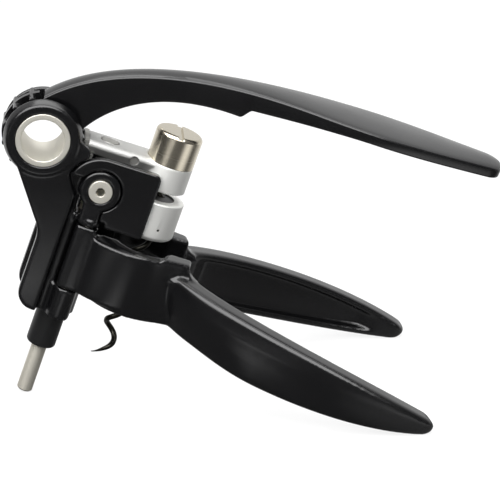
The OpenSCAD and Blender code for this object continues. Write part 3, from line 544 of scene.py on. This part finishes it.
def wire_section(z):
    """A level cut through the wire at a height."""
    angle = math.pi + 2 * math.pi * (z - WORM_TIP) / WORM_PITCH
    reach = COIL_R + TIP_FLARE * max(0, 1 - (z - WORM_TIP) / (WORM_PITCH * FLARE_TURNS)) ** 2
    r = WIRE_R * (POINT_SHARE + (1 - POINT_SHARE) * ease((z - WORM_TIP) / TIP_LEN))
    slant = math.sqrt(1 + (2 * math.pi * COIL_R / WORM_PITCH) ** 2)
    out = Vector((math.cos(angle), math.sin(angle), 0))
    along = Vector((-math.sin(angle), math.cos(angle), 0))
    centre = Vector((WORM_AHEAD, 0, z)) + out * reach
    turns = [2 * math.pi * i / WIRE_SIDES for i in range(WIRE_SIDES)]
    return [centre + out * (r * math.cos(a)) + along * (r * slant * math.sin(a)) for a in turns]


worm_length = WORM_TOP - WORM_TIP
worm_steps = round(worm_length / WORM_PITCH * WIRE_STEPS)
worm_cuts = [WORM_TIP + worm_length * i / worm_steps for i in range(worm_steps + 1)]
worm = loft(bmesh.new(), [wire_section(z) for z in worm_cuts])
stand("worm_wire", worm, dark_steel, "worm", "worm", smooth_deg=60)

# Cap
# A turned cap with a coin slot closes the barrel over the worm's head.
# It is steel, nickel plated and polished after it leaves the lathe.

# Polished nickel plate: a warm bright mirror, broken a little by fine lines round it from the lathe
polished_nickel, tree, shader, place = begin_finish("polished_nickel_plate")
LATHE_LINE_MM = 0.3
shader.inputs["Metallic"].default_value = 1.0
shader.inputs["Base Color"].default_value = linear("#d3cbb9")
cap_centre = STANCE @ Vector((WORM_AHEAD, 0, 0))
shifted = add(tree, "ShaderNodeVectorMath", {"operation": "SUBTRACT", 1: cap_centre}, {0: place})
upright = add(tree, "ShaderNodeMapping", {"Rotation": (0, -lean, 0)}, {"Vector": shifted.outputs["Vector"]})
parts = add(tree, "ShaderNodeSeparateXYZ", {}, {"Vector": upright.outputs["Vector"]})
flat = add(tree, "ShaderNodeCombineXYZ", {}, {"X": parts.outputs["X"], "Y": parts.outputs["Y"]})
reach = add(tree, "ShaderNodeVectorMath", {"operation": "LENGTH"}, {0: flat.outputs["Vector"]})
ring = add(tree, "ShaderNodeMath", {"operation": "ADD"}, {0: reach.outputs["Value"], 1: parts.outputs["Z"]})
lathe = add(tree, "ShaderNodeTexNoise",
            {"noise_dimensions": "1D", "Scale": 1 / (LATHE_LINE_MM * MM), "Detail": 2.0},
            {"W": ring.outputs["Value"]})
polish = add(tree, "ShaderNodeMapRange", {"To Min": 0.17, "To Max": 0.3}, {"Value": lathe.outputs["Fac"]})
tree.links.new(polish.outputs["Result"], shader.inputs["Roughness"])

CAP_EDGE_MM = 0.35
break_edges(frame["nodes"]["worm_cap"], CAP_EDGE_MM, polished_nickel)

# Grips
# Two mirrored zinc castings hinge on the frame. Each has a knuckle, half of the collar with the stop for the
# bottle's lip, and a curved handle with a shallow pocket inside. The black enamel covers them.
HINGE = Vector((1.3, 10.2, 0))
COLLAR_Z = 47.3
GRIP_REACH = 146.8
GRIP_HALF_T = 4.5
GRIP_OPEN = math.radians(8)
PROUD = 0.05
TIP_Z = COLLAR_Z + 4.6
TIP_HALF_H = 2.3
END_SHARE = 0.96
END_LEAST = 0.02
SHARE_STEP = 0.002
OUTER_R = 1.8
OUTER_STEPS = 5
INNER_R = 0.9
INNER_STEPS = 3
RIM_W = 2.4
POCKET_D = 3.0
POCKET_FROM = 0.1
POCKET_TO = 0.9
POCKET_RUN = 0.1
POCKET_SLOPE = 0.3
DRAFT_ROOT = 4.4
DRAFT_REST = 0.6
DRAFT_FROM = 0.15
DRAFT_RUN = 0.27
TOP_SHARE = 0.2
BELLY = 0.3
BELLY_LEVEL = 0.4
# Below its belly the outer face runs in to the foot: shares of the way in, at levels of the half height
RUN_IN = ((0.07, 0.1), (0.25, -0.2), (0.57, -0.5))
grip_curve = [(40, 9), (60, 29), (GRIP_REACH - 30.6, 40.5), (GRIP_REACH + HINGE.x, 29)]
grip_top = [(0, COLLAR_Z + 21.2), (0, COLLAR_Z + 19.2), (0, COLLAR_Z + 16.2), (0, TIP_Z + TIP_HALF_H)]
grip_foot = [(0, COLLAR_Z + 0.4), (0, COLLAR_Z - 4.1), (0, COLLAR_Z - 6.8), (0, TIP_Z - TIP_HALF_H)]


def grip_section(share):
    """A handle's section at a share of its length, with rounded edges and the pocket in the inner face."""
    middle = bezier(grip_curve, share)
    ahead = bezier(grip_curve, min(1, share + SHARE_STEP)) - bezier(grip_curve, max(0, share - SHARE_STEP))
    out = Vector((-ahead.y, ahead.x, 0)).normalized()
    end = max(0, (share - END_SHARE) / (1 - END_SHARE))
    cap = math.sqrt(max(END_LEAST, 1 - end * end))
    top = bezier(grip_top, share).y
    low = bezier(grip_foot, share).y
    h = (top - low) / 2 * cap + PROUD
    w = GRIP_HALF_T * cap + PROUD
    round_out = OUTER_R * cap
    round_in = min(1, h / 3) * INNER_R
    rim = min(RIM_W, h / 2.5)
    sunk = ease((share - POCKET_FROM) / POCKET_RUN) * ease((POCKET_TO - share) / POCKET_RUN)
    pocket = POCKET_D * sunk + PROUD
    slope = pocket * POCKET_SLOPE
    draft = DRAFT_ROOT + (DRAFT_REST - DRAFT_ROOT) * ease((share - DRAFT_FROM) / DRAFT_RUN)
    foot_w = w - draft * cap
    edge = [(w * TOP_SHARE, h)] + arc((w - round_out, h - round_out), round_out, 90, 0, OUTER_STEPS)
    edge += [(w + BELLY * cap, h * BELLY_LEVEL)]
    edge += [(w * (1 - inward) + foot_w * inward, h * level) for inward, level in RUN_IN]
    edge += arc((foot_w - round_out, round_out - h), round_out, 0, -90, OUTER_STEPS)
    edge += arc((round_in - w, round_in - h), round_in, 270, 180, INNER_STEPS)
    edge += [(-w, rim - h), (pocket - w, rim - h + slope), (pocket - w, 0), (pocket - w, h - rim - slope)]
    edge += [(-w, h - rim)] + arc((round_in - w, h - round_in), round_in, 180, 90, INNER_STEPS)
    centre = Vector((middle.x, middle.y, (top + low) / 2))
    return [centre + out * p + Vector((0, 0, q)) for p, q in edge]


EAR_FRONT = 43.0
EAR_TOP = 73.5
SWEEP_R = 5.5
SWEEP_END_DEG = 262
SWEEP_STEPS = 8
SWEEP_SIDES = (7.2, 12.6)
SWEEP_DROP = 0.3
SWEEP_LIP = 0.4
SWEEP_ROOT = 3
SWEEP_TOE = 1
TOE_DROP = 8
HEEL_DROP = 10
HANDLE_CUTS = 72
END_CUT_DEG = 6


def grip_shape(node):
    """The CAD collar and knuckle with a fine handle and the sweep from the ear down to it."""
    shape = bmesh.new()
    shape.from_mesh(frame["nodes"][node].data)
    bmesh.ops.remove_doubles(shape, verts=shape.verts, dist=WELD_MM * MM)
    bmesh.ops.transform(shape, matrix=STANCE.inverted(), verts=shape.verts)
    shares = [END_SHARE * i / HANDLE_CUTS for i in range(HANDLE_CUTS)]
    shares += [END_SHARE + (1 - END_SHARE) * math.sin(math.radians(a)) for a in range(0, 91, END_CUT_DEG)]
    handle = loft(bmesh.new(), [grip_section(share) for share in shares])
    sweep_top = EAR_TOP - SWEEP_DROP
    curve = [(EAR_FRONT - SWEEP_ROOT, sweep_top), (EAR_FRONT - SWEEP_LIP, sweep_top)]
    curve += arc((EAR_FRONT + SWEEP_R, sweep_top), SWEEP_R, 180, SWEEP_END_DEG, SWEEP_STEPS)
    curve += [(EAR_FRONT + SWEEP_R + SWEEP_TOE, EAR_TOP - TOE_DROP)]
    curve += [(EAR_FRONT - SWEEP_ROOT, EAR_TOP - HEEL_DROP)]
    sweep = loft(bmesh.new(), [[Vector((x, y, z)) for x, z in curve] for y in SWEEP_SIDES])
    for extra in (handle, sweep):
        bmesh.ops.rotate(extra, verts=extra.verts, cent=HINGE, matrix=Matrix.Rotation(GRIP_OPEN, 3, "Z"))
        if node == "grip_right":
            bmesh.ops.scale(extra, verts=extra.verts, vec=(1, -1, 1))
        bmesh.ops.recalc_face_normals(extra, faces=extra.faces)
        loose = bpy.data.meshes.new("loose")
        extra.to_mesh(loose)
        extra.free()
        shape.from_mesh(loose)
        bpy.data.meshes.remove(loose)
    return shape


GRIP_GRAIN_MM = 0.5
GRIP_PASSES = 22
for name in ("grip_left", "grip_right"):
    grip = stand(name + "_casting", grip_shape(name), black_enamel, name, name)
    cast_skin(grip, GRIP_GRAIN_MM, GRIP_PASSES)

# Floor
# A plain matt white sweep. It looks white to the camera and keeps a soft shadow of the tool. To glossy
# pieces it glows as a painted reflection: white behind the tool, dim in front, with painted bright patches.
floor_finish, tree, shader, place = begin_finish("white_sweep")
FLOOR_REACH = 3.0
FLOOR_WHITE = 0.85
WHITE = (1, 1, 1, 1)
shader.inputs["Base Color"].default_value = linear("#f4f4f4")
shader.inputs["Roughness"].default_value = 1.0
ray = add(tree, "ShaderNodeLightPath")
seen = add(tree, "ShaderNodeMath", {"operation": "ADD", "use_clamp": True},
           {0: ray.outputs["Is Camera Ray"], 1: ray.outputs["Is Transmission Ray"]})
cover = add(tree, "ShaderNodeMath", {"operation": "MULTIPLY", 1: FLOOR_WHITE}, {0: seen.outputs["Value"]})
glow = add(tree, "ShaderNodeEmission", {"Color": WHITE, "Strength": 1.0})
lit = add(tree, "ShaderNodeMixShader", {},
          {0: cover.outputs["Value"], 1: shader.outputs["BSDF"], 2: glow.outputs["Emission"]})
depth = add(tree, "ShaderNodeSeparateXYZ", {}, {"Vector": place})
mirrored = add(tree, "ShaderNodeMapRange", {"From Min": 0.0, "From Max": 0.14, "To Min": 0.12, "To Max": 1.0},
               {"Value": depth.outputs["Y"]})
mirror_level = mirrored.outputs["Result"]
# Each painted bright patch's middle and how far it reaches are in metres; its glow fades from its core
# outwards
PATCH_CORE = 0.3
for middle, brightness, far in (((0.105, -0.13, 0), 1.2, 0.1),
                                ((-0.095, -0.152, 0), 1.7, 0.05),
                                ((-0.6, -0.78, 0), 2.0, 0.4)):
    spread = add(tree, "ShaderNodeVectorMath", {"operation": "DISTANCE", 1: middle}, {0: place})
    glow_patch = add(tree, "ShaderNodeMapRange",
                {"From Min": far * PATCH_CORE, "From Max": far, "To Min": brightness, "To Max": 0.0},
                {"Value": spread.outputs["Value"]})
    total = add(tree, "ShaderNodeMath", {"operation": "ADD"}, {0: mirror_level, 1: glow_patch.outputs["Result"]})
    mirror_level = total.outputs["Value"]
# Painted reflection: glossy pieces see the floor glow at this level instead of its lit colour
shine = add(tree, "ShaderNodeEmission", {"Color": WHITE}, {"Strength": mirror_level})
whole = add(tree, "ShaderNodeMixShader", {},
            {0: ray.outputs["Is Glossy Ray"], 1: lit.outputs["Shader"], 2: shine.outputs["Emission"]})
tree.links.new(whole.outputs["Shader"], tree.nodes["Material Output"].inputs["Surface"])
ground = bmesh.new()
bmesh.ops.create_grid(ground, x_segments=1, y_segments=1, size=FLOOR_REACH)
floor_mesh = bpy.data.meshes.new("floor")
ground.to_mesh(floor_mesh)
ground.free()
floor = bpy.data.objects.new("floor", floor_mesh)
bpy.context.scene.collection.objects.link(floor)
floor.data.materials.append(floor_finish)

# Studio light
# A white room behind the tool and a dim one on the camera's side, darker on the left behind a screen.
# Two soft boxes light the tool: a large one from the front and a small one from above.
world = bpy.data.worlds.new("studio")
bpy.context.scene.world = world
world.use_nodes = True
tree = world.node_tree
ray = add(tree, "ShaderNodeLightPath")
direction = add(tree, "ShaderNodeTexCoord")
parts = add(tree, "ShaderNodeSeparateXYZ", {}, {"Vector": direction.outputs["Generated"]})
room = add(tree, "ShaderNodeMapRange", {"From Min": -0.3, "From Max": 0.5, "To Min": 0.13, "To Max": 0.82},
           {"Value": parts.outputs["Y"]})
screen = add(tree, "ShaderNodeMapRange", {"From Min": -0.95, "From Max": -0.5, "To Min": 0.25, "To Max": 1.0},
             {"Value": parts.outputs["X"]})
shaded = add(tree, "ShaderNodeMath", {"operation": "MULTIPLY"},
             {0: room.outputs["Result"], 1: screen.outputs["Result"]})
level = add(tree, "ShaderNodeMix", {"data_type": "FLOAT", 3: 1.0},
            {0: ray.outputs["Is Camera Ray"], 2: shaded.outputs["Value"]})
tree.links.new(level.outputs[0], tree.nodes["Background"].inputs["Strength"])
tree.nodes["Background"].inputs["Color"].default_value = WHITE


def soft_box(name, place, target, width, height, power):
    """An area light at a place, facing a target, in metres and watts."""
    lamp = bpy.data.lights.new(name, "AREA")
    lamp.shape = "RECTANGLE"
    lamp.size = width
    lamp.size_y = height
    lamp.energy = power
    box = bpy.data.objects.new(name, lamp)
    box.location = place
    box.rotation_mode = "QUATERNION"
    box.rotation_quaternion = (Vector(target) - Vector(place)).to_track_quat("-Z", "Y")
    bpy.context.scene.collection.objects.link(box)


MIDDLE = (0, 0, 0.06)
soft_box("key_box", place=(-0.2, -0.62, 0.95), target=MIDDLE, width=1.6, height=1.2, power=40)
soft_box("top_box", place=(0.1, 0.3, 0.9), target=MIDDLE, width=0.9, height=0.6, power=5)

# Camera
# It stands at the photograph's viewing angle and distance, with a long lens.
# The rod's foot lies at its place in the photograph's frame, which sets the aim.
PHOTO_PX = 500
FOCAL_PX = 2800
PX_PER_MM = 2.58
FOOT_PX = (24.0, 388.5)
azimuth = math.radians(-3.5)
elevation = math.radians(19.5)
back = Vector((math.sin(azimuth) * math.cos(elevation), -math.cos(azimuth) * math.cos(elevation),
               math.sin(elevation)))
across = (-back).cross(Vector((0, 0, 1))).normalized()
above = across.cross(-back)
aim = -back + across * (FOOT_PX[0] - PHOTO_PX / 2) / FOCAL_PX - above * (FOOT_PX[1] - PHOTO_PX / 2) / FOCAL_PX
camera = bpy.data.objects.new("camera", bpy.data.cameras.new("camera"))
camera.data.sensor_width = 36
camera.data.lens = FOCAL_PX / PHOTO_PX * camera.data.sensor_width
camera.data.clip_end = 20
camera.location = foot - aim * (FOCAL_PX / PX_PER_MM * MM)
camera.rotation_mode = "QUATERNION"
camera.rotation_quaternion = (-back).to_track_quat("-Z", "Y")
bpy.context.scene.collection.objects.link(camera)
bpy.context.scene.camera = camera
bpy.context.scene.view_settings.view_transform = "Standard"
